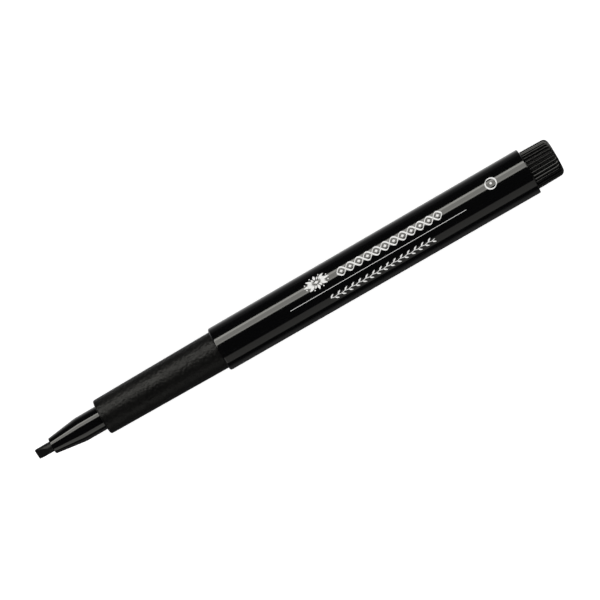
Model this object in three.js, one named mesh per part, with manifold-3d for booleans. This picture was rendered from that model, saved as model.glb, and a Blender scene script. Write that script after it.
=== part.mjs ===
// A broad-nib calligraphy marker without its cap, lying on its side. Millimetres, +Z up.
// The pen's axis runs along X, from the nib at -X to the fluted end plug at +X, and the barrel
// rests on Z = 0. Inside this file x counts from the nib's writing edge, and the last lines move
// the finished pen to its frame. Every turned surface is a regular polygon round the axis whose
// flats touch the true circle, so that a flat always lies underneath.
import * as THREE from "three";
import { mergeVertices } from "three/addons/utils/BufferGeometryUtils.js";
import Module from "manifold-3d";

const wasm = await Module();
wasm.setup();

// Fits
const PRESS_GAP = 0.02; // between pieces that are pressed together for good
const SLIDE_GAP = 0.05; // round the nib and the plug, which can be pulled out
const RESERVOIR_GAP = 0.1; // round the reservoir inside the grip

// Nib: a round fibre rod, cut to a chisel at its front
const NIB_DIAMETER = 2.5;
const NIB_LENGTH = 30;
const NIB_REACH = 4; // what stands out of the nose
const NIB_EDGE = 0.12; // thickness of the writing edge
const NIB_LONG_BEVEL = 3.15; // length of the face above the edge
const NIB_SHORT_BEVEL = 1.1; // length of the face below it
const NIB_ROLL = THREE.MathUtils.degToRad(29); // turn of the long face from +Z towards -Y
const NIB_TAIL_CHAMFER = 0.5;

// Nose: a cone with a straight neck, held by a flange behind the grip's front wall
const TIP_WALL = 0.65; // round the nib at the cone's tip
const TIP_LIP = 1.2; // length of the close bore at the tip
const CONE_LENGTH = 7.5;
const NECK_LENGTH = 5.6; // straight part in front of the grip
const FLANGE_STEP = 0.67; // how far the flange stands out from the neck
const FLANGE_LENGTH = 4;
const VENT_DEPTH = 0.35; // air gap between the nib and the wall of the nose
const VENT_RIBS = 6;
const VENT_RIB_WIDTH = 0.4;

// Grip section: a matt sleeve with a spigot that is pushed into the barrel
const GRIP_LENGTH = 30.9;
const GRIP_TAPER = 0.65; // rear diameter less front diameter
const GRIP_FRONT_WALL = 2;
const CAP_STEP = 0.75; // step from the grip up to the barrel, where a cap stops
const SPIGOT_LENGTH = 9;
const SPIGOT_WALL = 0.55;

// Barrel: a long glossy tube, slightly wider at its rear
const BARREL_LENGTH = 81.5;
const BARREL_DIAMETER = 10.8; // at the front
const BARREL_TAPER = 0.45; // rear diameter less front diameter
const BARREL_WALL = 1.18;
const BARREL_SEAT = 0.5; // spare length of the bore that holds the spigot
const END_RECESS = 0.4; // depth of the shallow recess in each end, for the grip and the plug

// Reservoir: a bonded-fibre core in a thin film
const FILM_THICKNESS = 0.15;
const FILM_SETBACK = 0.5; // bare core at each end
const SOCKET_SPARE = 0.3; // room behind the nib's tail

// End plug: a fluted head, which also carries the cap, and a stem inside the barrel
const HEAD_LENGTH = 7.05;
const HEAD_EXTRA = 0.15; // how much wider than the grip the head is, so that a cap holds on it
const HEAD_TAPER = 0.2;
const HEAD_NECK_LENGTH = 0.15; // plain part between the barrel and the flutes
const HEAD_NECK_STEP = 0.12;
const HEAD_CORNER = 1.2; // radius of the rear edge
const HEAD_WALL = 1.2; // thickness of the closed rear end
const FLUTES = 30;
const FLUTE_TURN = THREE.MathUtils.degToRad(2.5); // of one rib's middle from +Z towards +Y
const FLUTE_DEPTH = 0.45;
const FLUTE_SHARE = 0.8; // part of the pitch that is groove
const FLUTE_LEAN = 0.8; // part of a groove that its two leaning walls take up
const STEM_LENGTH = 9;
const STEM_BORE_STEP = 1; // shoulder that the reservoir rests on
const CUP_DEPTH = 3; // how far the reservoir stands in the stem

// Edges and facets
const EDGE = 0.3; // radius of the moulded edges
const LEAD_IN = 0.4; // chamfer on what is pushed into a bore
const FLATS = 32; // round the axis, a multiple of four
const ARC_STEPS = 3;

// Sizes that follow from the ones above
const nibRadius = NIB_DIAMETER / 2;
const nibBore = nibRadius + SLIDE_GAP;
const ventBore = nibRadius + VENT_DEPTH;
const barrelFront = BARREL_DIAMETER / 2;
const barrelRear = barrelFront + BARREL_TAPER / 2;
const seatBore = barrelFront - BARREL_WALL;
const mainBore = barrelRear - BARREL_WALL;
const gripRear = barrelFront - CAP_STEP;
const gripFront = gripRear - GRIP_TAPER / 2;
const spigotRadius = seatBore - PRESS_GAP;
const gripBore = spigotRadius - SPIGOT_WALL;
const flangeRadius = gripBore - PRESS_GAP;
const neckRadius = flangeRadius - FLANGE_STEP;
const neckHole = neckRadius + PRESS_GAP;
const tipRadius = nibBore + TIP_WALL;
const filmRadius = gripBore - RESERVOIR_GAP;
const coreRadius = filmRadius - FILM_THICKNESS - PRESS_GAP;
const stemRadius = mainBore - SLIDE_GAP;
const cupRadius = filmRadius + SLIDE_GAP;
const headFront = gripRear + HEAD_EXTRA / 2;
const headRear = headFront - HEAD_TAPER / 2;
const headNeck = headRear - HEAD_NECK_STEP;
const frontRecess = gripRear + PRESS_GAP;
const rearRecess = headFront + SLIDE_GAP;

// Stations along the pen, counted from the writing edge
const tipX = NIB_REACH;
const neckX = tipX + CONE_LENGTH;
const gripX = neckX + NECK_LENGTH;
const flangeX = gripX + GRIP_FRONT_WALL + PRESS_GAP;
const noseEndX = flangeX + FLANGE_LENGTH;
const barrelX = gripX + GRIP_LENGTH;
const frontSeatX = barrelX + END_RECESS;
const spigotEndX = barrelX + SPIGOT_LENGTH;
const seatEndX = spigotEndX + BARREL_SEAT;
const barrelEndX = barrelX + BARREL_LENGTH;
const rearSeatX = barrelEndX - END_RECESS;
const stemX = barrelEndX - STEM_LENGTH;
const cupEndX = stemX + CUP_DEPTH;
const headX = rearSeatX + PRESS_GAP;
const fluteX = barrelEndX + HEAD_NECK_LENGTH;
const penLength = barrelEndX + HEAD_LENGTH;
const coreX = noseEndX + PRESS_GAP;
const coreEndX = cupEndX - PRESS_GAP;

// Axes renamed so that the turning axis (Y) or the extruding axis (Z) of a shape becomes X.
const TURNED_TO_X = new THREE.Matrix4().set(0, 1, 0, 0, 0, 0, 1, 0, 1, 0, 0, 0, 0, 0, 0, 1);
const EXTRUDED_TO_X = new THREE.Matrix4().set(0, 0, 1, 0, 1, 0, 0, 0, 0, 1, 0, 0, 0, 0, 0, 1);

// A closed outline of [x, radius] points turned about the pen's axis.
function turned(outline, flats = FLATS) {
  const vertexScale = 1 / Math.cos(Math.PI / flats);
  const points = outline.map(([x, radius]) => new THREE.Vector2(radius * vertexScale, x));
  const lathe = new THREE.LatheGeometry(points, flats, Math.PI / flats);
  return lathe.applyMatrix4(TURNED_TO_X);
}

// A tube's outline: its outer points from front to rear, then its inner points from rear to
// front, closed on itself.
function tube(outer, inner) {
  return [...outer, ...inner, outer[0]];
}

// Points of an arc about (x, radius), from one angle to another, in quarter turns.
function arc(x, radius, size, from, to) {
  return Array.from({ length: ARC_STEPS + 1 }, (_, i) => {
    const angle = (Math.PI / 2) * (from + ((to - from) * i) / ARC_STEPS);
    return [x + size * Math.cos(angle), radius + size * Math.sin(angle)];
  });
}

// The rounded outer edge at the front or the rear of a turned piece.
const frontEdge = (x, radius, size) => arc(x + size, radius - size, size, 2, 1);
const rearEdge = (x, radius, size) => arc(x - size, radius - size, size, 1, 0);

// A geometry as a solid that can be joined and cut.
function solid(geometry) {
  const bare = geometry.clone().deleteAttribute("normal").deleteAttribute("uv");
  const merged = mergeVertices(bare, 1e-4);
  return new wasm.Manifold(
    new wasm.Mesh({
      numProp: 3,
      vertProperties: merged.attributes.position.array,
      triVerts: new Uint32Array(merged.index.array),
    }),
  );
}

// A solid back as a geometry.
function geometryOf(body) {
  const made = body.getMesh();
  const geometry = new THREE.BufferGeometry();
  geometry.setAttribute("position", new THREE.BufferAttribute(made.vertProperties, 3));
  geometry.setIndex(new THREE.BufferAttribute(made.triVerts, 1));
  geometry.computeVertexNormals();
  return geometry;
}

// The nib: a rod with a chamfered tail, cut to the side view of a chisel. The side view is
// extruded across the pen and turned with the nib.
function chiselNib() {
  const rod = turned([
    [0, 0],
    [0, nibRadius],
    [NIB_LENGTH - NIB_TAIL_CHAMFER, nibRadius],
    [NIB_LENGTH, nibRadius - NIB_TAIL_CHAMFER],
    [NIB_LENGTH, 0],
  ]);
  const over = 1.2; // the side view runs past the rod, along the slopes of its two faces
  const half = NIB_EDGE / 2;
  const rise = (nibRadius - half) * over;
  const side = new THREE.Shape([
    new THREE.Vector2(0, -half),
    new THREE.Vector2(NIB_SHORT_BEVEL * over, -half - rise),
    new THREE.Vector2(NIB_LENGTH * over, -half - rise),
    new THREE.Vector2(NIB_LENGTH * over, half + rise),
    new THREE.Vector2(NIB_LONG_BEVEL * over, half + rise),
    new THREE.Vector2(0, half),
  ]);
  const wide = NIB_DIAMETER * over;
  const blade = new THREE.ExtrudeGeometry(side, { depth: wide, bevelEnabled: false });
  blade.translate(0, 0, -wide / 2);
  blade.rotateX(Math.PI / 2);
  blade.rotateX(NIB_ROLL);
  return geometryOf(solid(rod).intersect(solid(blade)));
}

// The nose: cone, neck and flange, with a close bore at the tip and a wider one behind it,
// where ribs hold the nib and leave air between them.
function noseCone() {
  const shell = turned(
    tube(
      [
        [tipX, nibBore],
        ...frontEdge(tipX, tipRadius, EDGE / 2),
        [neckX, neckRadius],
        [flangeX, neckRadius],
        [flangeX, flangeRadius],
        [noseEndX - LEAD_IN, flangeRadius],
        [noseEndX, flangeRadius - LEAD_IN],
      ],
      [
        [noseEndX, ventBore],
        [tipX + TIP_LIP, ventBore],
        [tipX + TIP_LIP, nibBore],
      ],
    ),
  );
  const sunk = TIP_WALL / 2; // how deep a rib is rooted in the wall
  const ribHeight = ventBore + sunk - nibBore;
  const ribLength = noseEndX - tipX - TIP_LIP;
  let nose = solid(shell);
  for (let i = 0; i < VENT_RIBS; i++) {
    const rib = new THREE.BoxGeometry(ribLength, VENT_RIB_WIDTH, ribHeight);
    rib.translate(noseEndX - ribLength / 2, 0, nibBore + ribHeight / 2);
    rib.rotateX((2 * Math.PI * i) / VENT_RIBS);
    nose = nose.add(solid(rib));
  }
  return geometryOf(nose);
}

// The grip section: a tapered sleeve with a holed front wall, and the spigot behind it.
function gripSection() {
  return turned(
    tube(
      [
        [gripX, neckHole],
        ...frontEdge(gripX, gripFront, EDGE),
        [frontSeatX - PRESS_GAP, gripRear],
        [frontSeatX - PRESS_GAP, spigotRadius],
        [spigotEndX - LEAD_IN, spigotRadius],
        [spigotEndX, spigotRadius - LEAD_IN],
      ],
      [
        [spigotEndX, gripBore],
        [gripX + GRIP_FRONT_WALL, gripBore],
        [gripX + GRIP_FRONT_WALL, neckHole],
      ],
    ),
  );
}

// The barrel: a tapered tube with a close bore for the spigot and a wider one behind it. The
// grip and the plug's head stand in a shallow recess at its ends, inside a flat ring.
function barrel() {
  return turned(
    tube(
      [
        [barrelX, frontRecess],
        ...frontEdge(barrelX, barrelFront, EDGE),
        ...rearEdge(barrelEndX, barrelRear, EDGE),
      ],
      [
        [barrelEndX, rearRecess],
        [rearSeatX, rearRecess],
        [rearSeatX, mainBore],
        [seatEndX, mainBore],
        [seatEndX, seatBore],
        [frontSeatX, seatBore],
        [frontSeatX, frontRecess],
      ],
    ),
  );
}

// The reservoir's fibre core, with the socket that the nib's tail is pushed into.
function inkReservoir() {
  const socketEnd = NIB_LENGTH + SOCKET_SPARE;
  return turned([
    [socketEnd, 0],
    [socketEnd, nibBore],
    [coreX, nibBore],
    [coreX, coreRadius],
    [coreEndX, coreRadius],
    [coreEndX, 0],
  ]);
}

// The film round the core, which it leaves bare at both ends.
function reservoirFilm() {
  const from = coreX + FILM_SETBACK;
  const to = coreEndX - FILM_SETBACK;
  const inside = filmRadius - FILM_THICKNESS;
  return turned(
    tube(
      [
        [from, filmRadius],
        [to, filmRadius],
      ],
      [
        [to, inside],
        [from, inside],
      ],
    ),
  );
}

// The outline of the fluted head across the pen: ribs with narrow tops between leaning walls.
function flutedOutline() {
  const crest = headFront + EDGE;
  const floor = headRear - FLUTE_DEPTH;
  const pitch = (2 * Math.PI) / FLUTES;
  const groove = (pitch * FLUTE_SHARE) / 2;
  const lean = groove * FLUTE_LEAN;
  const points = [];
  for (let i = 0; i < FLUTES; i++) {
    const middle = Math.PI / 2 - FLUTE_TURN + (i + 0.5) * pitch; // of a groove, from +Y to +Z
    const corners = [
      [-groove, crest],
      [lean - groove, floor],
      [groove - lean, floor],
      [groove, crest],
    ];
    corners.forEach(([turn, radius]) => {
      const angle = middle + turn;
      points.push(new THREE.Vector2(radius * Math.cos(angle), radius * Math.sin(angle)));
    });
  }
  return new THREE.Shape(points);
}

// The end plug: a fluted head with a rounded rear edge and a short plain neck, and a hollow
// stem that holds the rear of the reservoir.
function endPlug() {
  const flutes = new THREE.ExtrudeGeometry(flutedOutline(), {
    depth: penLength - fluteX + EDGE,
    bevelEnabled: false,
  });
  flutes.applyMatrix4(EXTRUDED_TO_X).translate(fluteX, 0, 0);
  const envelope = turned(
    [
      [fluteX, 0],
      [fluteX, headFront],
      ...rearEdge(penLength, headRear, HEAD_CORNER),
      [penLength, 0],
    ],
    2 * FLUTES,
  );
  const stem = turned([
    [stemX, 0],
    [stemX, stemRadius - LEAD_IN],
    [stemX + LEAD_IN, stemRadius],
    [headX, stemRadius],
    [headX, headNeck],
    [fluteX, headNeck],
    [fluteX + EDGE, headNeck - EDGE],
    [fluteX + EDGE, 0],
  ]);
  const hollow = turned([
    [stemX - EDGE, 0],
    [stemX - EDGE, cupRadius],
    [cupEndX, cupRadius],
    [cupEndX, cupRadius - STEM_BORE_STEP],
    [penLength - HEAD_WALL, cupRadius - STEM_BORE_STEP],
    [penLength - HEAD_WALL, 0],
  ]);
  const head = solid(flutes).intersect(solid(envelope));
  return geometryOf(head.add(solid(stem)).subtract(solid(hollow)));
}

const GLOSSY_BLACK = { color: 0x0b0b0c, roughness: 0.12, metalness: 0 };
const MATT_BLACK = { color: 0x161617, roughness: 0.6, metalness: 0 };
const FIBRE_BLACK = { color: 0x0d0d0f, roughness: 0.85, metalness: 0 };
const INKED_FIBRE = { color: 0x1b1b20, roughness: 0.95, metalness: 0 };
const CLEAR_FILM = { color: 0xdadfe2, roughness: 0.2, metalness: 0 };

const PIECES = {
  barrel: [barrel, GLOSSY_BLACK],
  grip_section: [gripSection, MATT_BLACK],
  nose_cone: [noseCone, GLOSSY_BLACK],
  chisel_nib: [chiselNib, FIBRE_BLACK],
  ink_reservoir: [inkReservoir, INKED_FIBRE],
  reservoir_film: [reservoirFilm, CLEAR_FILM],
  end_plug: [endPlug, GLOSSY_BLACK],
};

const marker = new THREE.Group();
marker.position.set(-penLength / 2, 0, barrelRear);
for (const [name, [make, look]] of Object.entries(PIECES)) {
  const mesh = new THREE.Mesh(make(), new THREE.MeshStandardMaterial(look));
  mesh.name = name;
  marker.add(mesh);
}

export default marker;
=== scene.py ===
"""A broad-nib calligraphy marker without its cap, lying on a pale floor.

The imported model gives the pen's frame: its axis runs along X, from the nib at -X to the fluted
end plug at +X, and the barrel rests on Z = 0. Every piece here is a surface worked out from two
parameters, in metres, in that frame.
"""

import math

import bpy
import bmesh
import numpy as np
from bpy.props import FloatProperty, FloatVectorProperty, IntProperty, PointerProperty
from mathutils import Matrix, Vector


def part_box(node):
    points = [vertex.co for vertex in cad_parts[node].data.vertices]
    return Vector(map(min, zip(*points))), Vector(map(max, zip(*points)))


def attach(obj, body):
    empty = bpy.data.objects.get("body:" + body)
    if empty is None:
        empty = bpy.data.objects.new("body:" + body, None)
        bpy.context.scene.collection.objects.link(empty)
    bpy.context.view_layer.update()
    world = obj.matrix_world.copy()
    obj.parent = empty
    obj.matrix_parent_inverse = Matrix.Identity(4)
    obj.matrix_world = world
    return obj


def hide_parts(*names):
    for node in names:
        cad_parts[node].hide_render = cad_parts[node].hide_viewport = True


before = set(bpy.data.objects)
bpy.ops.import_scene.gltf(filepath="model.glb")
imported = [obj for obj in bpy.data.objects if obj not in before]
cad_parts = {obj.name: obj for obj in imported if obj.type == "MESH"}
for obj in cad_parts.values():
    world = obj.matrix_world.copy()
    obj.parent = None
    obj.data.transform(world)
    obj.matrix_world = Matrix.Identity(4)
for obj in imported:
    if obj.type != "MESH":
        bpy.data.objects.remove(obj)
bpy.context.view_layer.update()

bl_info = {
    "name": "Calligraphy marker",
    "version": (1, 0, 0),
    "blender": (4, 5, 0),
    "location": "View3D > Sidebar > Marker",
    "description": "Builds a broad-nib calligraphy marker round its packed frame",
    "category": "Add Mesh",
}

MM = 0.001
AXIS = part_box("barrel")[1].z / 2  # height of the pen's axis

# Fits and hidden sizes that the boxes of the nodes don't give
PRESS_GAP = 0.02 * MM
SLIDE_GAP = 0.05 * MM
END_RECESS = 0.4 * MM
SEAT_BORE = 4.22 * MM  # radius of the bore that takes the grip's spigot
SEAT_SPARE = 0.5 * MM  # length of that bore behind the spigot
GRIP_WALL = 2.0 * MM
LEAD_IN = 0.4 * MM
NOSE_NECK = 2.96 * MM  # radius of the nose's neck
NOSE_TIP = 1.95 * MM  # radius of the nose where the nib comes out
NOSE_RIBS = 6
FILM_WALL = 0.14 * MM
SOFT_EDGE = 0.05 * MM  # fillet of the small moulded corners
CUT_EDGE = 0.1 * MM  # fillet of the edges at a gap or a cut

# Fineness of the turned surfaces
TURNS = 192  # columns once round the pen
FLUTE_POINTS = 16  # columns from one rib of the plug to the next
ARC_POINTS = 9  # points along a fillet
HOLD = 0.06 * MM  # distance of the holding rows from a fillet
STEP = 3.0 * MM  # longest stretch without a row
MERGE = 1e-7  # distance in metres at which points become one


def length(name, description, millimetres):
    """A property that holds a length, with its default in millimetres."""
    return FloatProperty(
        name=name,
        description=description,
        default=millimetres * MM,
        min=0.0,
        precision=5,
        subtype="DISTANCE",
        unit="LENGTH",
    )


def colour(name, description, default):
    """A property that holds a colour."""
    return FloatVectorProperty(
        name=name,
        description=description,
        default=default,
        size=3,
        min=0.0,
        max=1.0,
        subtype="COLOR",
    )


class MarkerSizes(bpy.types.PropertyGroup):
    """Sizes of the marker's pieces."""

    barrel_taper: length("Barrel taper", "Rear radius of the barrel less its front radius", 0.225)
    barrel_wall: length("Barrel wall", "Thickness of the barrel at its rear", 1.18)
    front_edge: length("Front edge", "Radius of the barrel's and the grip's front edges", 0.42)
    rear_edge: length("Rear edge", "Radius of the barrel's rear edge", 0.24)
    grip_taper: length("Grip taper", "Rear radius of the grip less its front radius", 0.325)
    spigot_wall: length("Spigot wall", "Thickness of the grip's spigot", 0.55)
    cone: length("Cone", "Length of the cone in front of the nose's straight neck", 7.5)
    cone_blend: length("Cone blend", "Radius between the cone and the neck", 8.0)
    tip_lip: length("Tip lip", "Length of the close bore at the tip", 1.2)
    vent: length("Vent", "Air gap round the nib inside the nose", 0.35)
    nib_edge: length("Writing edge", "Thickness of the nib's writing edge", 0.12)
    nib_long: length("Long bevel", "Length of the face above the writing edge", 3.15)
    nib_short: length("Short bevel", "Length of the face below the writing edge", 1.1)
    nib_roll: FloatProperty(
        name="Nib roll",
        description="Turn of the long face from straight up towards -Y",
        default=math.radians(29),
        subtype="ANGLE",
        unit="ROTATION",
    )
    head_taper: length("Head taper", "Front radius of the plug's head less its rear one", 0.1)
    neck: length("Plug neck", "Length of the plain neck in front of the flutes", 0.15)
    neck_step: length("Neck step", "Depth of that neck below the head's rear radius", 0.12)
    flutes: IntProperty(name="Flutes", description="Grooves round the plug", default=30, min=3)
    flute_turn: FloatProperty(
        name="Flute turn",
        description="Turn of one rib from straight up towards +Y",
        default=math.radians(2.5),
        subtype="ANGLE",
        unit="ROTATION",
    )
    flute_depth: length("Flute depth", "Depth of a groove at the rear of the plug", 0.45)
    rib_crest: FloatProperty(
        name="Rib crest",
        description="Width over which a rib is rounded, as a share of the pitch",
        default=0.3,
        min=0.0,
    )
    rear_corner: length("Rear corner", "Radius of the plug's rear edge", 1.2)
    print_rise: length("Print rise", "Height of the printed ink over the barrel", 0.012)
    print_hair: length("Thin stroke", "Width of the thinnest printed stroke", 0.145)
    print_broad: length("Broad stroke", "Extra width of a stroke square to the pen", 0.22)


class MarkerColours(bpy.types.PropertyGroup):
    """Colours and finishes of the marker's materials."""

    gloss: colour("Gloss moulding", "Barrel, nose and plug", (0.0019, 0.0019, 0.0021))
    matt: colour("Matt moulding", "Grip section", (0.0018, 0.0017, 0.0016))
    fibre: colour("Nib fibre", "Fibres of the inked nib", (0.0028, 0.0027, 0.003))
    core: colour("Reservoir fibre", "Bonded fibres soaked with ink", (0.012, 0.012, 0.016))
    film: colour("Film", "Wrap of the reservoir", (0.72, 0.75, 0.78))
    ink: colour("Print", "Printed ornament", (0.9, 0.9, 0.88))
    gloss_roughness: FloatProperty(
        name="Gloss roughness", description="Barrel and nose", default=0.07, min=0.0, max=1.0
    )
    matt_roughness: FloatProperty(
        name="Matt roughness", description="Grip section", default=0.44, min=0.0, max=1.0
    )


class MarkerStage(bpy.types.PropertyGroup):
    """Floor, lights and camera."""

    floor: colour("Floor", "Pale floor", (0.93, 0.93, 0.93))
    key: FloatProperty(name="Key strip", description="Radiance of the +Y strip", default=3.7)
    fill: FloatProperty(name="Fill strip", description="Radiance of the -Y strip", default=0.47)
    ambient: FloatProperty(name="Ambient", description="Soft light from all round", default=0.84)
    lens: FloatProperty(
        name="Lens", description="Focal length", default=240.0, subtype="DISTANCE_CAMERA"
    )


# --------------------------------------------------------------------------------- surfaces


def unit(vectors):
    """Each vector divided by its length."""
    return vectors / np.linalg.norm(vectors, axis=-1, keepdims=True)


def rounded(corners, closed=True):
    """An outline through (x, radius, fillet) corners, as rows of (x, radius).

    With unit directions a and b from a corner to its neighbours, and half the angle between
    them h, a fillet f has its centre at corner + f / sin(h) * (a + b) / |a + b| and meets the
    sides f / tan(h) away. Its points turn evenly from one foot to the other. Each straight
    gets a row HOLD away from its fillets, and rows no further than STEP apart.
    """
    corners = np.asarray(corners, float)
    points, fillet = corners[:, :2], corners[:, 2:]
    if closed:
        before, after = np.roll(points, 1, 0), np.roll(points, -1, 0)
    else:
        before, after = points[:-2], points[2:]
        points, fillet = points[1:-1], fillet[1:-1]
    a, b = unit(before - points), unit(after - points)
    half = np.arccos(np.clip((a * b).sum(1, keepdims=True), -1, 1)) / 2
    centre = points + unit(a + b) * fillet / np.sin(half)
    foot_a = points + a * fillet / np.tan(half) - centre
    foot_b = points + b * fillet / np.tan(half) - centre
    sweep = (math.pi - 2 * half)[:, None]
    t = np.linspace(0, 1, ARC_POINTS)[None, :, None]
    arcs = centre[:, None] + (
        np.sin((1 - t) * sweep) * foot_a[:, None] + np.sin(t * sweep) * foot_b[:, None]
    ) / np.sin(sweep)
    turns = list(arcs)
    if not closed:
        turns = [corners[:1, :2], *turns, corners[-1:, :2]]
    outline = []
    for here, there in zip(turns, turns[1:] + turns[:1]):
        outline.append(here)
        run = there[0] - here[-1]
        gap = np.linalg.norm(run)
        if there is turns[0] and not closed:
            break
        if gap > 3 * HOLD:
            rows = max(2, math.ceil((gap - 2 * HOLD) / STEP) + 1)
            share = np.linspace(HOLD / gap, 1 - HOLD / gap, rows)[:, None]
            outline.append(here[-1] + share * run)
    return np.concatenate(outline)


def turned(outline, turns=TURNS, radii=None):
    """An outline turned about the pen's axis: a grid of (x, r sin a, axis + r cos a).

    The angle a runs once round from straight up towards +Y. radii, where given, holds the
    radius of each outline row at each angle.
    """
    angle = np.linspace(0, 2 * math.pi, turns, endpoint=False)
    radius = np.repeat(outline[:, 1:], turns, 1) if radii is None else radii
    x = np.repeat(outline[:, :1], turns, 1)
    return np.stack([x, radius * np.sin(angle), AXIS + radius * np.cos(angle)], -1)


def surface(name, grids, closed_rows, smooth=True):
    """One mesh piece from grids of points, each closed across, and along too if closed_rows.

    Points that fall together, as on the axis, become one, and the faces are turned outwards.
    """
    points, quads, count = [], [], 0
    for grid in grids:
        rows, columns = grid.shape[:2]
        index = count + np.arange(rows * columns).reshape(rows, columns)
        index = np.concatenate([index, index[:, :1]], 1)
        if closed_rows:
            index = np.concatenate([index, index[:1]], 0)
        corners = [index[:-1, :-1], index[1:, :-1], index[1:, 1:], index[:-1, 1:]]
        quads.append(np.stack(corners, -1).reshape(-1, 4))
        points.append(grid.reshape(-1, 3))
        count += rows * columns
    points, quads = np.concatenate(points), np.concatenate(quads)
    mesh = bpy.data.meshes.new(name)
    mesh.vertices.add(len(points))
    mesh.vertices.foreach_set("co", points.astype(np.float32).ravel())
    mesh.loops.add(quads.size)
    mesh.loops.foreach_set("vertex_index", quads.astype(np.int32).ravel())
    mesh.polygons.add(len(quads))
    mesh.polygons.foreach_set("loop_start", np.arange(0, quads.size, 4, dtype=np.int32))
    mesh.update(calc_edges=True)
    work = bmesh.new()
    work.from_mesh(mesh)
    bmesh.ops.remove_doubles(work, verts=work.verts, dist=MERGE)
    bmesh.ops.recalc_face_normals(work, faces=work.faces)
    work.to_mesh(mesh)
    work.free()
    mesh.polygons.foreach_set("use_smooth", np.full(len(mesh.polygons), smooth))
    piece = bpy.data.objects.new(name, mesh)
    bpy.context.scene.collection.objects.link(piece)
    return piece


def fitted(piece, body, slot, material, *nodes):
    """Gives a piece its material and its body, and hides the nodes that it stands for. The slot
    is not used.
    """
    piece.data.materials.append(material)
    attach(piece, body)
    if nodes:
        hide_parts(*nodes)


def smooth_step(value, low, high):
    """0 below low, 1 above high, and 3 t^2 - 2 t^3 in between."""
    t = np.clip((value - low) / (high - low), 0, 1)
    return t * t * (3 - 2 * t)


def from_repeat(angle, count):
    """How far an angle is from the nearest of count equal divisions, in divisions."""
    return np.abs(np.mod(angle * count / (2 * math.pi) + 0.5, 1) - 0.5)


def soft_min(a, b, blend):
    """The smaller of a and b, rounded off where they differ by less than blend."""
    near = np.maximum(blend - np.abs(a - b), 0)
    return np.minimum(a, b) - near**2 / (4 * np.maximum(blend, 1e-9))


# ---------------------------------------------------------------------------------- shading


class Value:
    """An output socket. Arithmetic on it adds Math nodes to its tree."""

    def __init__(self, look, socket):
        self.look, self.socket = look, socket

    def math(self, operation, first, second):
        made = self.look.node("ShaderNodeMath", {"operation": operation}, {0: first, 1: second})
        return Value(self.look, made.outputs[0])

    def __add__(self, other):
        return self.math("ADD", self, other)

    def __sub__(self, other):
        return self.math("SUBTRACT", self, other)

    def __rsub__(self, other):
        return self.math("SUBTRACT", other, self)

    def __mul__(self, other):
        return self.math("MULTIPLY", self, other)

    __radd__ = __add__
    __rmul__ = __mul__


COLOUR_OUTPUT = 2  # of a Mix node, whose outputs share one name


class Look:
    """The nodes of a material or a world, with the few that most of them need."""

    def __init__(self, owner):
        owner.use_nodes = True
        self.owner, self.tree = owner, owner.node_tree
        self.tree.nodes.clear()

    def node(self, kind, settings=None, inputs=None):
        """A node of a kind: its settings first, then the values or links of its sockets.

        A socket is named, or numbered where its name isn't enough.
        """
        made = self.tree.nodes.new(kind)
        for name, setting in (settings or {}).items():
            if name == "stops":
                ramp = made.color_ramp.elements
                while len(ramp) < len(setting):
                    ramp.new(1.0)
                for element, (place, shade) in zip(ramp, setting):
                    element.position, element.color = place, (*shade, 1.0)
            else:
                setattr(made, name, setting)
        for key, value in (inputs or {}).items():
            socket = made.inputs[key] if isinstance(key, int) else self.named(made, key)
            if isinstance(value, Value):
                self.tree.links.new(value.socket, socket)
            else:
                socket.default_value = value
        return made

    def named(self, made, name):
        """The first enabled socket of a name, as a Mix node has several of one name."""
        return next(socket for socket in made.inputs if socket.name == name and socket.enabled)

    def value(self, kind, settings=None, inputs=None, output=0):
        """The same, and one of its outputs."""
        return Value(self, self.node(kind, settings, inputs).outputs[output])

    def place(self, scale=(1, 1, 1)):
        """Object coordinates, in metres, each axis multiplied by its scale."""
        place = self.value("ShaderNodeTexCoord", output="Object")
        return self.value("ShaderNodeMapping", {}, {"Vector": place, "Scale": scale})

    def noise(self, grain, detail=2.0, stretch=(1, 1, 1)):
        """Noise whose lumps are about grain long, stretched along an axis by its factor."""
        scale = tuple(1 / (grain * factor) for factor in stretch)
        inputs = {"Vector": self.place(scale), "Scale": 1.0, "Detail": detail}
        return self.value("ShaderNodeTexNoise", {"normalize": True}, inputs)

    def mask(self, value, low, high):
        """0 below low and 1 above high."""
        inputs = {"Value": value, "From Min": low, "From Max": high}
        return self.value("ShaderNodeMapRange", {"interpolation_type": "SMOOTHSTEP"}, inputs)

    def mix(self, mask, first, second):
        """One colour over another where the mask is 1."""
        inputs = {"Factor": mask, "A": (*first, 1.0), "B": (*second, 1.0)}
        return self.value("ShaderNodeMix", {"data_type": "RGBA"}, inputs, output=COLOUR_OUTPUT)

    def bump(self, height, depth):
        """A normal from a height of 0 to 1 times a depth in metres."""
        inputs = {"Height": height, "Distance": depth, "Strength": 1.0}
        return self.value("ShaderNodeBump", {}, inputs)

    def finish(self, inputs):
        """The Principled shader with its sockets, and the output."""
        shader = self.value("ShaderNodeBsdfPrincipled", {}, inputs)
        self.node("ShaderNodeOutputMaterial", {}, {"Surface": shader})
        return self.owner


def scaled(shade, factor):
    """A colour times a number."""
    return tuple(channel * factor for channel in shade)


def material(name, make):
    """The material of that name, made once."""
    return bpy.data.materials.get(name) or make(Look(bpy.data.materials.new(name)))


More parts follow.
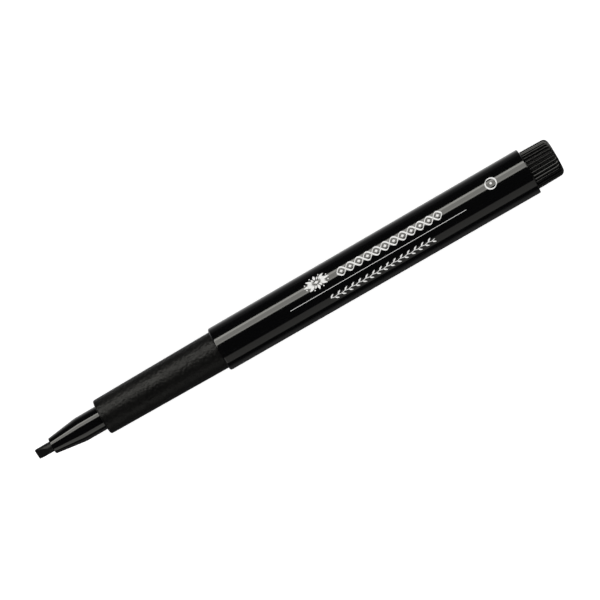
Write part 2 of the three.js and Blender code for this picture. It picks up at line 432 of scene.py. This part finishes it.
def gloss_moulding(colours):
    """Polished black polystyrene: faint flow lines along the pen, hairline scuffs."""

    def make(look):
        flow = look.noise(1.6 * MM, 2.0, (14, 1, 1))
        cloud = look.noise(5 * MM, 3.0)
        scuff = look.noise(0.12 * MM, 2.0, (30, 1, 1))
        scratches = look.mask(scuff, 0.66, 0.74) * look.mask(cloud, 0.45, 0.62)
        height = flow * 0.8 + look.noise(0.5 * MM, 3.0) * 0.2
        return look.finish(
            {
                "Base Color": look.mix(scratches, colours.gloss, scaled(colours.gloss, 4)),
                "Roughness": colours.gloss_roughness + cloud * 0.03 + scratches * 0.12,
                "Normal": look.bump(height, 0.8e-6),
                "IOR": 1.52,
            }
        )

    return material("gloss_moulding", make)


def matt_moulding(colours):
    """Spark-eroded black moulding: soft mottling under a faint fine grain, rubbed in places."""

    def make(look):
        grain = look.noise(0.16 * MM, 2.0)
        mottle = look.noise(0.6 * MM, 1.0)
        rubbed = look.mask(look.noise(7 * MM, 2.0), 0.45, 0.7)
        height = grain * 0.05 + mottle
        return look.finish(
            {
                "Base Color": look.mix(
                    mottle, scaled(colours.matt, 0.7), scaled(colours.matt, 1.4)
                ),
                "Roughness": colours.matt_roughness - 0.08 + mottle * 0.16 - rubbed * 0.04,
                "Normal": look.bump(height, 150e-6),
                "Specular IOR Level": 0.21,
            }
        )

    return material("matt_moulding", make)


def plug_moulding(colours):
    """Glossy black moulding of the end plug, a little cloudy, with a faint grain."""

    def make(look):
        cloud = look.noise(1.2 * MM, 3.0)
        grain = look.noise(0.1 * MM, 2.0)
        return look.finish(
            {
                "Base Color": look.mix(
                    cloud, scaled(colours.gloss, 0.7), scaled(colours.gloss, 1.3)
                ),
                "Roughness": 0.07 + cloud * 0.05,
                "Normal": look.bump(grain, 1e-6),
                "Specular IOR Level": 0.33,
            }
        )

    return material("plug_moulding", make)


def nib_fibre(colours):
    """Bonded fibres along the nib, soaked black, with paler fibres that have rubbed dry."""

    def make(look):
        fibres = look.noise(0.07 * MM, 3.0, (16, 1, 1))
        lumps = look.noise(0.5 * MM, 2.0)
        dry = look.mask(fibres, 0.56, 0.72) * look.mask(lumps, 0.4, 0.65)
        return look.finish(
            {
                "Base Color": look.mix(dry, colours.fibre, scaled(colours.fibre, 3)),
                "Roughness": 0.34 + fibres * 0.2,
                "Normal": look.bump(fibres * 0.7 + lumps * 0.5, 16e-6),
                "Specular IOR Level": 0.3,
            }
        )

    return material("nib_fibre", make)


def core_fibre(colours):
    """Loosely bonded fibres of the reservoir, wet with ink."""

    def make(look):
        fibres = look.noise(0.12 * MM, 4.0, (25, 1, 1))
        damp = look.noise(3 * MM, 2.0)
        return look.finish(
            {
                "Base Color": look.mix(fibres, colours.core, scaled(colours.core, 3)),
                "Roughness": 0.95 - damp * 0.4,
                "Normal": look.bump(fibres, 60e-6),
            }
        )

    return material("core_fibre", make)


def clear_film(colours):
    """Thin clear film with a little haze and creasing."""

    def make(look):
        crease = look.noise(1.5 * MM, 3.0, (6, 1, 1))
        return look.finish(
            {
                "Base Color": look.mix(crease, colours.film, scaled(colours.film, 0.9)),
                "Roughness": 0.12 + crease * 0.2,
                "Normal": look.bump(crease, 20e-6),
                "Alpha": 0.35,
            }
        )

    return material("clear_film", make)


def white_print(colours):
    """Pad-printed white ink: a dry surface that is thin in places."""

    def make(look):
        speckle = look.noise(0.09 * MM, 3.0)
        thin = look.mask(speckle, 0.58, 0.72)
        return look.finish(
            {
                "Base Color": look.mix(thin, colours.ink, scaled(colours.ink, 0.62)),
                "Roughness": 0.5 + speckle * 0.2,
                "Normal": look.bump(speckle, 4e-6),
            }
        )

    return material("white_print", make)


# ----------------------------------------------------------------------------------- pieces


class MARKER_OT_barrel(bpy.types.Operator):
    """Makes the glossy barrel: a tapered tube with a shallow recess in each end"""

    bl_idname = "marker.barrel"
    bl_label = "Barrel"

    def execute(self, context):
        sizes, colours = context.scene.marker_sizes, context.scene.marker_colours
        low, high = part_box("barrel")
        rear = (high.y - low.y) / 2
        front = rear - sizes.barrel_taper
        bore = rear - sizes.barrel_wall
        front_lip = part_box("grip_section")[1].z - AXIS + PRESS_GAP
        rear_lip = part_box("end_plug")[1].z - AXIS + SLIDE_GAP
        seat_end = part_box("grip_section")[1].x + SEAT_SPARE
        outline = rounded(
            [
                (low.x, front, sizes.front_edge),
                (high.x, rear, sizes.rear_edge),
                (high.x, rear_lip, CUT_EDGE),
                (high.x - END_RECESS, rear_lip, SOFT_EDGE),
                (high.x - END_RECESS, bore, SOFT_EDGE),
                (seat_end, bore, SOFT_EDGE),
                (seat_end, SEAT_BORE, SOFT_EDGE),
                (low.x + END_RECESS, SEAT_BORE, SOFT_EDGE),
                (low.x + END_RECESS, front_lip, SOFT_EDGE),
                (low.x, front_lip, CUT_EDGE),
            ]
        )
        piece = surface("barrel_shell", [turned(outline)], True)
        fitted(piece, "pen_body", "glossy_black", gloss_moulding(colours), "barrel")
        return {"FINISHED"}


class MARKER_OT_grip(bpy.types.Operator):
    """Makes the matt grip section with its front wall and its spigot"""

    bl_idname = "marker.grip"
    bl_label = "Grip section"

    def execute(self, context):
        sizes, colours = context.scene.marker_sizes, context.scene.marker_colours
        low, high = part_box("grip_section")
        rear = (high.y - low.y) / 2
        front = rear - sizes.grip_taper
        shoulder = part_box("barrel")[0].x + END_RECESS - PRESS_GAP
        spigot = SEAT_BORE - PRESS_GAP
        bore = spigot - sizes.spigot_wall
        hole = NOSE_NECK + PRESS_GAP
        outline = rounded(
            [
                (low.x, hole, 0.08 * MM),
                (low.x, front, sizes.front_edge),
                (shoulder, rear, SOFT_EDGE),
                (shoulder, spigot, SOFT_EDGE),
                (high.x - LEAD_IN, spigot, SOFT_EDGE),
                (high.x, spigot - LEAD_IN, SOFT_EDGE),
                (high.x, bore, SOFT_EDGE),
                (low.x + GRIP_WALL, bore, SOFT_EDGE),
                (low.x + GRIP_WALL, hole, SOFT_EDGE),
            ]
        )
        piece = surface("grip_sleeve", [turned(outline)], True)
        fitted(piece, "pen_body", "matt_black", matt_moulding(colours), "grip_section")
        return {"FINISHED"}


class MARKER_OT_nose(bpy.types.Operator):
    """Makes the glossy nose: a cone and neck with a flange, and ribs in its bore"""

    bl_idname = "marker.nose"
    bl_label = "Nose"

    def execute(self, context):
        sizes, colours = context.scene.marker_sizes, context.scene.marker_colours
        low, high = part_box("nose_cone")
        flange = (high.y - low.y) / 2
        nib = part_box("chisel_nib")
        close = (nib[1].y - nib[0].y) / 2 + SLIDE_GAP
        open_bore = close - SLIDE_GAP + sizes.vent
        flange_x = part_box("grip_section")[0].x + GRIP_WALL + PRESS_GAP
        outline = rounded(
            [
                (low.x, close, SOFT_EDGE),
                (low.x, NOSE_TIP, 0.15 * MM),
                (low.x + sizes.cone, NOSE_NECK, sizes.cone_blend),
                (flange_x, NOSE_NECK, SOFT_EDGE),
                (flange_x, flange, SOFT_EDGE),
                (high.x - LEAD_IN, flange, SOFT_EDGE),
                (high.x, flange - LEAD_IN, SOFT_EDGE),
                (high.x, open_bore, SOFT_EDGE),
                (low.x + sizes.tip_lip, open_bore, SOFT_EDGE),
                (low.x + sizes.tip_lip, close, SOFT_EDGE),
            ]
        )
        # Where the bore is open, its radius falls to the close bore's over each rib.
        angle = np.linspace(0, 2 * math.pi, TURNS, endpoint=False)
        off_rib = from_repeat(angle, NOSE_RIBS) * 2 * math.pi / NOSE_RIBS
        rib = 1 - smooth_step(off_rib * open_bore, 0.15 * MM, 0.24 * MM)
        radius = np.repeat(outline[:, 1:], TURNS, 1)
        inside = (radius <= open_bore + MERGE) & (outline[:, :1] > low.x + sizes.tip_lip)
        radius = np.where(inside, radius + (close - radius) * rib, radius)
        piece = surface("nose_holder", [turned(outline, TURNS, radius)], True)
        fitted(piece, "pen_body", "nose_black", gloss_moulding(colours), "nose_cone")
        return {"FINISHED"}


class MARKER_OT_nib(bpy.types.Operator):
    """Makes the fibre nib: a rod whose front is cut to a broad chisel edge"""

    bl_idname = "marker.nib"
    bl_label = "Nib"

    def execute(self, context):
        """With a once round the rod, and d the distance from the writing edge, a point has
        the height r cos a, held between -lower(d) and upper(d), and the side r sin a. The two
        limits start at half the edge's thickness and reach r over the bevels' lengths. Near
        the edge the sides draw in round its corners, and at the back r falls to a chamfer."""
        sizes, colours = context.scene.marker_sizes, context.scene.marker_colours
        low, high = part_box("chisel_nib")
        radius = (high.y - low.y) / 2
        total = high.x - low.x
        half_edge = sizes.nib_edge / 2
        chamfer, corner, blend = 0.5 * MM, 0.16 * MM, 0.06 * MM
        fine = 0.035 * MM  # distance between the rows of the bevels
        start = half_edge * (1 - np.cos(np.linspace(0, math.pi / 2, 8)))
        cut = np.arange(half_edge + fine, sizes.nib_long + 6 * fine, fine)
        rod = np.linspace(cut[-1] + fine, total - chamfer - HOLD, 16)
        back = total - chamfer + np.array([-0.02, 0.02, 0.06, 0.25, 0.44, 0.48, 0.5]) * MM
        d = np.concatenate([start, cut, rod, back, [total]])[:, None]
        tail = np.clip(d - (total - chamfer), 0, None)
        around = radius - tail
        around[-1] = 0
        turn = np.linspace(0, 2 * math.pi, 256, endpoint=False)[None]
        round_off = np.sqrt(np.clip(1 - (1 - np.clip(d / half_edge, 0, 1)) ** 2, 0, 1))
        edge = half_edge * round_off
        upper = edge + d * (radius - half_edge) / sizes.nib_long
        lower = edge + d * (radius - half_edge) / sizes.nib_short
        height = around * np.cos(turn)
        height = soft_min(height, upper, np.minimum(0.5 * upper, blend))
        height = -soft_min(-height, lower, np.minimum(0.5 * lower, blend))
        fall = 1 - np.clip(d / corner, 0, 1)
        side = around * np.sin(turn) * (1 - corner / radius * (1 - np.sqrt(1 - fall**2)))
        cos, sin = math.cos(sizes.nib_roll), math.sin(sizes.nib_roll)
        x = np.repeat(low.x + d, turn.size, 1)
        grid = np.stack([x, side * cos - height * sin, AXIS + height * cos + side * sin], -1)
        piece = surface("nib_rod", [grid], False)
        fitted(piece, "nib", "inked_nib", nib_fibre(colours), "chisel_nib")
        return {"FINISHED"}


class MARKER_OT_reservoir(bpy.types.Operator):
    """Makes the reservoir's fibre core and the thin film round it"""

    bl_idname = "marker.reservoir"
    bl_label = "Reservoir"

    def execute(self, context):
        colours = context.scene.marker_colours
        low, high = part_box("ink_reservoir")
        core = (high.y - low.y) / 2
        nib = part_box("chisel_nib")
        socket = (nib[1].y - nib[0].y) / 2 + SLIDE_GAP
        socket_end = nib[1].x + 0.3 * MM
        outline = rounded(
            [
                (socket_end, 0, 0),
                (socket_end, socket, SOFT_EDGE),
                (low.x, socket, CUT_EDGE),
                (low.x, core, CUT_EDGE),
                (high.x, core, CUT_EDGE),
                (high.x, 0, 0),
            ],
            closed=False,
        )
        piece = surface("reservoir_core", [turned(outline)], False)
        fitted(piece, "pen_body", "inked_fibre", core_fibre(colours), "ink_reservoir")
        low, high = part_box("reservoir_film")
        outer = (high.y - low.y) / 2
        inner = outer - FILM_WALL
        section = [(low.x, inner), (low.x, outer), (high.x, outer), (high.x, inner)]
        outline = rounded([(*corner, 0.03 * MM) for corner in section])
        piece = surface("film_wrap", [turned(outline)], True)
        fitted(piece, "pen_body", "clear_film", clear_film(colours), "reservoir_film")
        return {"FINISHED"}


class MARKER_OT_plug(bpy.types.Operator):
    """Makes the end plug: a fluted head with a round rear edge, and its hollow stem"""

    bl_idname = "marker.plug"
    bl_label = "End plug"

    def execute(self, context):
        """The head's radius is its plain envelope's on the ribs, and falls to the floor of the
        grooves in proportion to sqrt(u^2 + w^2) - w, where u is the distance from the nearest
        rib as a share of the pitch and w is the width of the rounded crest. The stem's mouth
        is a cup round the reservoir's film, with a closer bore behind it."""
        sizes, colours = context.scene.marker_sizes, context.scene.marker_colours
        low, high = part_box("end_plug")
        front = (high.y - low.y) / 2
        rear = front - sizes.head_taper
        floor = rear - sizes.flute_depth
        neck = rear - sizes.neck_step
        barrel_low, barrel_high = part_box("barrel")
        flute_x = barrel_high.x + sizes.neck
        shoulder = barrel_high.x - END_RECESS + PRESS_GAP
        stem = (barrel_high.y - barrel_low.y) / 2 - sizes.barrel_wall - SLIDE_GAP
        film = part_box("reservoir_film")
        cup = (film[1].y - film[0].y) / 2 + SLIDE_GAP
        bore = cup - 1.0 * MM
        cup_x = low.x + 3.0 * MM
        bore_end = high.x - 1.2 * MM
        gate, gate_x = 0.6 * MM, high.x - 0.12 * MM  # the sunk mark of the mould's gate
        outline = rounded(
            [
                (gate_x, 0, 0),
                (gate_x, gate, SOFT_EDGE),
                (high.x, gate, SOFT_EDGE),
                (high.x, rear, sizes.rear_corner),
                (flute_x, front, CUT_EDGE),
                (flute_x, neck, SOFT_EDGE),
                (shoulder, neck, SOFT_EDGE),
                (shoulder, stem, SOFT_EDGE),
                (low.x + LEAD_IN, stem, SOFT_EDGE),
                (low.x, stem - LEAD_IN, SOFT_EDGE),
                (low.x, cup, SOFT_EDGE),
                (cup_x, cup, SOFT_EDGE),
                (cup_x, bore, SOFT_EDGE),
                (bore_end, bore, 0.2 * MM),
                (bore_end, 0, 0),
            ],
            closed=False,
        )
        turns = FLUTE_POINTS * sizes.flutes
        angle = np.linspace(0, 2 * math.pi, turns, endpoint=False)
        off_rib = from_repeat(angle - sizes.flute_turn, sizes.flutes)
        crest = sizes.rib_crest
        groove = np.hypot(off_rib, crest) - crest
        groove /= math.hypot(0.5, crest) - crest
        radius = np.repeat(outline[:, 1:], turns, 1)
        fluted = (outline[:, :1] > flute_x - MERGE) & (radius > cup)
        radius = np.where(fluted, radius - np.maximum(radius - floor, 0) * groove, radius)
        piece = surface("fluted_plug", [turned(outline, turns, radius)], False)
        fitted(piece, "plug", "plug_black", plug_moulding(colours), "end_plug")
        return {"FINISHED"}


# ------------------------------------------------------------------------------------ print

PEN_ANGLE = math.radians(40)  # how the broad pen that drew the ornament was held
ACROSS = 5  # points across a stroke
PRINT_SINK = 0.02 * MM  # depth of a stroke's underside below the barrel's surface

# Places in millimetres along the pen and round the barrel from its top towards +Y
RULE = (-1.65, 44.4, -0.52)  # start, end and height
RULE_HALF = 0.048 * MM  # half its width
EMBLEM = (6.75, 2.3, 3.3, 1.85)  # middle and half sizes
BORDER = (11.8, 39.2, 1.66, 0.98)  # start, end, height and half size
BRANCH = (7.8, 35.0, -2.78, 0.8)  # the same
RING = (52.15, 1.95, 1.3)  # middle and radius


def stroke(sizes, path, half, sealed=True):
    """A printed stroke as a closed slab bent round the barrel.

    The path's points are (x along the pen, s round the barrel from the top towards +Y). Each
    gives a row of points across it, offset by the half width along the path's normal, first
    on top of the ink and back again just inside the barrel: (x, r sin(s / b), axis +
    r cos(s / b)), b being the barrel's radius at x and r the ink's. The half width falls to
    nothing at both ends unless the path is a ring.
    """
    low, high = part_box("barrel")
    along = unit(np.gradient(path, axis=0))
    if not sealed:
        along = unit(np.roll(path, -1, 0) - np.roll(path, 1, 0))
    normal = np.stack([-along[:, 1], along[:, 0]], -1)[:, None]
    across = np.linspace(-1, 1, ACROSS)
    across = np.concatenate([across, across[::-1]])[None, :, None]
    flat = path[:, None] + across * normal * np.broadcast_to(half, len(path))[:, None, None]
    lift = np.repeat([sizes.print_rise, -PRINT_SINK], ACROSS)
    share = (flat[..., 0] - low.x) / (high.x - low.x)
    base = AXIS - sizes.barrel_taper * (1 - share)
    turn, radius = flat[..., 1] / base, base + lift
    return np.stack([flat[..., 0], radius * np.sin(turn), AXIS + radius * np.cos(turn)], -1)


def pen_width(sizes, heading):
    """Half the width that a broad pen held at PEN_ANGLE gives to a stroke with a heading."""
    return (sizes.print_hair + sizes.print_broad * np.abs(np.sin(heading - PEN_ANGLE))) / 2


def ends(count, share=0.02):
    """1 along a stroke, falling to 0 as a quarter circle over a share of it at each end."""
    t = (1 - np.cos(np.linspace(0, math.pi, count))) / 2
    near = np.clip(np.minimum(t, 1 - t) / share, 0, 1)
    return t, np.sqrt(1 - (1 - near) ** 2)


def leaf(sizes, start, end, width, bend=0.0):
    """A pointed leaf between two points, with t from 0 to 1 along it: its half width is
    width / 2 sin(pi t), and it bows aside by bend sin(pi t)."""
    t = np.linspace(0, 1, 17)
    start, end = np.array(start), np.array(end)
    side = unit(np.array([start[1] - end[1], end[0] - start[0]]))
    path = start + t[:, None] * (end - start) + bend * np.sin(math.pi * t)[:, None] * side
    return stroke(sizes, path, width / 2 * np.sin(math.pi * t))


def lozenge(sizes, centre, long, wide):
    """A lozenge: a stroke whose half width falls evenly from its middle to its two points."""
    t = np.linspace(-1, 1, 9)
    path = np.stack([centre[0] + t * long, np.full(9, centre[1])], -1)
    return stroke(sizes, path, wide * (1 - np.abs(t)))


def dot(sizes, centre, radius):
    """A round dot: a stroke whose half width is sqrt(1 - t^2) of its radius."""
    t = -np.cos(np.linspace(0, math.pi, 15))
    path = np.stack([centre[0] + t * radius, np.full(15, centre[1])], -1)
    return stroke(sizes, path, radius * np.sqrt(np.clip(1 - t**2, 0, 1)))


def rule_strokes(sizes):
    """One thin line along the barrel."""
    t, fall = ends(41, 0.002)
    x0, x1, s = (value * MM for value in RULE)
    path = np.stack([x0 + t * (x1 - x0), np.full(len(t), s)], -1)
    return [stroke(sizes, path, RULE_HALF * fall)]


def emblem_strokes(sizes):
    """Leaves on an ellipse round a lozenge, long ones and short ones with a dot in turn."""
    x, s, long, high = (value * MM for value in EMBLEM)
    middle, leaves = np.array([x, s]), 16
    grids = [lozenge(sizes, (x, s), 0.55 * MM, 0.36 * MM)]
    for i in range(leaves):
        a = 2 * math.pi * i / leaves
        reach, width = (0.72, 0.4 * MM) if i % 2 else (1.0, 0.62 * MM)
        way = np.array([math.cos(a) * long, math.sin(a) * high])
        grids.append(leaf(sizes, middle + 0.3 * way, middle + reach * way, width, 0.1 * MM))
        if i % 2:
            grids.append(dot(sizes, middle + 0.9 * way, 0.15 * MM))
    return grids


def border_strokes(sizes):
    """Two crossing waves drawn with a broad pen, with a lozenge in each of their eyes."""
    x0, x1, s, high = (value * MM for value in BORDER)
    eyes = 12
    t, fall = ends(481, 0.004)
    grids = []
    for sign in (1, -1):
        wave = s + sign * high * np.sin(t * eyes * math.pi)
        path = np.stack([x0 + t * (x1 - x0), wave], -1)
        along = np.gradient(path, axis=0)
        heading = np.arctan2(along[:, 1], along[:, 0])
        grids.append(stroke(sizes, path, pen_width(sizes, heading) * fall))
    for i in range(eyes):
        middle = (x0 + (i + 0.5) / eyes * (x1 - x0), s)
        grids.append(lozenge(sizes, middle, 0.42 * MM, 0.36 * MM))
    return grids


def branch_strokes(sizes):
    """A thin stem, with leaves along it in turn above and below."""
    x0, x1, s, high = (value * MM for value in BRANCH)
    leaves = 30
    pitch = (x1 - x0) / leaves
    t, fall = ends(241, 0.01)
    path = np.stack([x0 + t * (x1 - x0), s + 0.12 * high * np.cos(t * leaves * math.pi)], -1)
    grids = [stroke(sizes, path, 0.075 * MM * fall)]
    for i in range(leaves):
        side = 1 if i % 2 == 0 else -1
        x = x0 + (i + 0.3) * pitch
        start, end = (x - 0.3 * pitch, s), (x + 0.8 * pitch, s + side * high)
        grids.append(leaf(sizes, start, end, 0.36 * MM, 0.1 * MM * side))
    return grids


def dot_strokes(sizes):
    """A dot in the middle of the ring."""
    middle = [value * MM for value in RING[:2]]
    return [dot(sizes, middle, 0.28 * MM)]


def ring_strokes(sizes):
    """A closed ring drawn with a broad pen."""
    x, s, radius = (value * MM for value in RING)
    a = np.linspace(0, 2 * math.pi, 64, endpoint=False)
    path = np.stack([x + radius * np.cos(a), s + radius * np.sin(a)], -1)
    return [stroke(sizes, path, pen_width(sizes, a + math.pi / 2), sealed=False)]


class MARKER_OT_ornament(bpy.types.Operator):
    """Makes the white ornament printed along the top of the barrel"""

    bl_idname = "marker.ornament"
    bl_label = "Printed ornament"

    def execute(self, context):
        sizes, colours = context.scene.marker_sizes, context.scene.marker_colours
        for name, strokes, endless in (
            ("print_rule", rule_strokes, False),
            ("print_emblem", emblem_strokes, False),
            ("print_border", border_strokes, False),
            ("print_branch", branch_strokes, False),
            ("print_dot", dot_strokes, False),
            ("print_ring", ring_strokes, True),
        ):
            piece = surface(name, strokes(sizes), endless, smooth=False)
            fitted(piece, "pen_body", "white_print", white_print(colours))
        return {"FINISHED"}


# ------------------------------------------------------------------------------------ stage

WARM = (1.0, 0.985, 0.92)  # colour of the strips
MIRRORED_SKY = 0.012  # radiance of the sky where it is mirrored, and where it is seen
SEEN_SKY = 1.1
FLOOR_LIFT = 0.6  # radiance that the floor adds of its own
FLOOR_GLOW = (  # (distance from the pen towards +Y in millimetres, radiance when mirrored)
    (-45, 0.0),
    (-30, 0.03),
    (-18, 0.12),
    (-14, 0.13),
    (-10, 0.08),
    (0, 0.07),
    (8, 0.75),
    (10, 0.7),
    (13, 0.42),
    (18, 0.2),
    (25, 0.12),
    (70, 0.02),
)
STRIP_DISTANCE = 0.6
IN_FRONT = STRIP_DISTANCE - 0.01  # where a strip overlaps another
SENSOR = 36.0


def strip_light(name, lean, spread, radiance, distance=STRIP_DISTANCE, long=2.6, at=0.0):
    """A strip softbox along the pen, seen in it between lean - spread and lean + spread from
    straight up towards +Y. It shows in reflections only."""
    width = 2 * distance * math.tan(math.radians(spread))
    data = bpy.data.lights.new(name, "AREA")
    data.shape, data.size, data.size_y = "RECTANGLE", long, width
    data.energy = radiance * math.pi * long * width
    data.color = WARM
    lamp = bpy.data.objects.new(name, data)
    away = Vector((0, math.sin(math.radians(lean)), math.cos(math.radians(lean))))
    across = away.cross(Vector((1, 0, 0)))
    turn = Matrix((Vector((1, 0, 0)), across, away)).transposed().to_4x4()
    lamp.matrix_world = Matrix.Translation(Vector((at, 0, AXIS)) + away * distance) @ turn
    lamp.visible_camera = False
    lamp.visible_diffuse = False
    bpy.context.scene.collection.objects.link(lamp)


def pale_floor(stage):
    """A pale floor. In reflections it is dark, with a bright band beside the pen."""

    def make(look):
        path = look.node("ShaderNodeLightPath")
        place = look.value("ShaderNodeTexCoord", output="Object")
        parts = look.node("ShaderNodeSeparateXYZ", {}, {"Vector": place})
        y = Value(look, parts.outputs["Y"])
        reach = 80 * MM  # of the ramp, on either side of the pen
        ramp = [(0.5 + at * MM / (2 * reach), (shade,) * 3) for at, shade in FLOOR_GLOW]
        glow = look.value(
            "ShaderNodeValToRGB", {"stops": ramp}, {"Fac": y * (1 / (2 * reach)) + 0.5}
        )
        mirrored = look.value("ShaderNodeEmission", {}, {"Color": glow, "Strength": 1.0})
        paper = look.value("ShaderNodeBsdfDiffuse", {}, {"Color": (*stage.floor, 1.0)})
        lift = look.value("ShaderNodeEmission", {}, {"Strength": FLOOR_LIFT})
        plain = look.value("ShaderNodeAddShader", {}, {0: paper, 1: lift})
        glossy = Value(look, path.outputs["Is Glossy Ray"])
        both = look.value("ShaderNodeMixShader", {}, {0: glossy, 1: plain, 2: mirrored})
        look.node("ShaderNodeOutputMaterial", {}, {"Surface": both})
        return look.owner

    return material("pale_floor", make)


def studio_sky(stage):
    """A white sky, which lights from all round and is nearly black where it is mirrored."""
    look = Look(bpy.data.worlds.new("studio"))
    path = look.node("ShaderNodeLightPath")
    camera_ray = Value(look, path.outputs["Is Camera Ray"])
    glossy_ray = Value(look, path.outputs["Is Glossy Ray"])
    strength = stage.ambient + camera_ray * (SEEN_SKY - stage.ambient)
    strength = strength - glossy_ray * (stage.ambient - MIRRORED_SKY)
    white = (1.0, 1.0, 1.0, 1.0)
    sky = look.value("ShaderNodeBackground", {}, {"Color": white, "Strength": strength})
    look.node("ShaderNodeOutputWorld", {}, {"Surface": sky})
    return look.owner


def studio_camera(stage):
    """A camera nearly straight above the pen, tipped towards its rear and turned about the
    line of sight, so that the pen rises to the right."""
    width = 136.8 * MM  # what the view takes in at the pen's axis
    shift_right, shift_up = 0.928 * MM, 1.231 * MM  # of the view's middle from the pen's
    tilt, turn = math.radians(1.5), math.radians(30)
    back = Vector((math.sin(tilt), 0, math.cos(tilt)))
    pen = Vector((math.cos(tilt), 0, -math.sin(tilt)))
    across = Vector((0, 1, 0))
    right = pen * math.cos(turn) - across * math.sin(turn)
    up = pen * math.sin(turn) + across * math.cos(turn)
    aim = Vector((0, 0, AXIS)) + right * shift_right + up * shift_up
    place = Matrix.Translation(aim + back * (width * stage.lens / SENSOR))
    data = bpy.data.cameras.new("camera")
    data.lens, data.sensor_width = stage.lens, SENSOR
    data.clip_start, data.clip_end = 0.05, 10.0
    camera = bpy.data.objects.new("camera", data)
    camera.matrix_world = place @ Matrix((right, up, back)).transposed().to_4x4()
    bpy.context.scene.collection.objects.link(camera)
    return camera


class MARKER_OT_stage(bpy.types.Operator):
    """Makes the pale floor, the soft studio light and the camera"""

    bl_idname = "marker.stage"
    bl_label = "Stage"

    def execute(self, context):
        scene, stage = context.scene, context.scene.marker_stage
        side = 2.5  # half the floor's width, in metres
        mesh = bpy.data.meshes.new("floor")
        corners = [(-side, -side), (side, -side), (side, side), (-side, side)]
        mesh.from_pydata([(*corner, -0.01 * MM) for corner in corners], [], [(0, 1, 2, 3)])
        floor = bpy.data.objects.new("floor", mesh)
        scene.collection.objects.link(floor)
        mesh.materials.append(pale_floor(stage))

        strip_light("key_strip", lean=39.6, spread=16.4, radiance=stage.key)
        strip_light("key_edge", 51.0, 4.6, stage.key * 0.7, IN_FRONT)
        strip_light("key_inner_edge", 26.5, 2.8, stage.key * 0.22, IN_FRONT)
        strip_light("fill_strip", -66.6, 18.0, stage.fill, long=1.65, at=0.475)
        strip_light("fill_end", -66.6, 18.0, stage.fill * 1.3, IN_FRONT, long=0.22, at=-0.19)
        scene.world = studio_sky(stage)
        scene.camera = studio_camera(stage)
        scene.view_settings.view_transform = "Standard"
        return {"FINISHED"}


class VIEW3D_PT_marker(bpy.types.Panel):
    """Lists the marker's operators, sizes and colours"""

    bl_label = "Calligraphy marker"
    bl_space_type = "VIEW_3D"
    bl_region_type = "UI"
    bl_category = "Marker"

    def draw(self, context):
        for operator in OPERATORS:
            self.layout.operator(operator.bl_idname)
        for group in ("marker_sizes", "marker_colours", "marker_stage"):
            settings = getattr(context.scene, group)
            column = self.layout.column(align=True)
            for name in settings.__annotations__:
                column.prop(settings, name)


OPERATORS = (
    MARKER_OT_barrel,
    MARKER_OT_grip,
    MARKER_OT_nose,
    MARKER_OT_nib,
    MARKER_OT_reservoir,
    MARKER_OT_plug,
    MARKER_OT_ornament,
    MARKER_OT_stage,
)
CLASSES = (MarkerSizes, MarkerColours, MarkerStage, *OPERATORS, VIEW3D_PT_marker)


def register():
    for made in CLASSES:
        bpy.utils.register_class(made)
    bpy.types.Scene.marker_sizes = PointerProperty(type=MarkerSizes)
    bpy.types.Scene.marker_colours = PointerProperty(type=MarkerColours)
    bpy.types.Scene.marker_stage = PointerProperty(type=MarkerStage)


def unregister():
    del bpy.types.Scene.marker_sizes
    del bpy.types.Scene.marker_colours
    del bpy.types.Scene.marker_stage
    for made in reversed(CLASSES):
        bpy.utils.unregister_class(made)


def main():
    register()
    bpy.ops.marker.barrel()
    bpy.ops.marker.grip()
    bpy.ops.marker.nose()
    bpy.ops.marker.nib()
    bpy.ops.marker.reservoir()
    bpy.ops.marker.plug()
    bpy.ops.marker.ornament()
    bpy.ops.marker.stage()


if __name__ == "__main__":
    main()
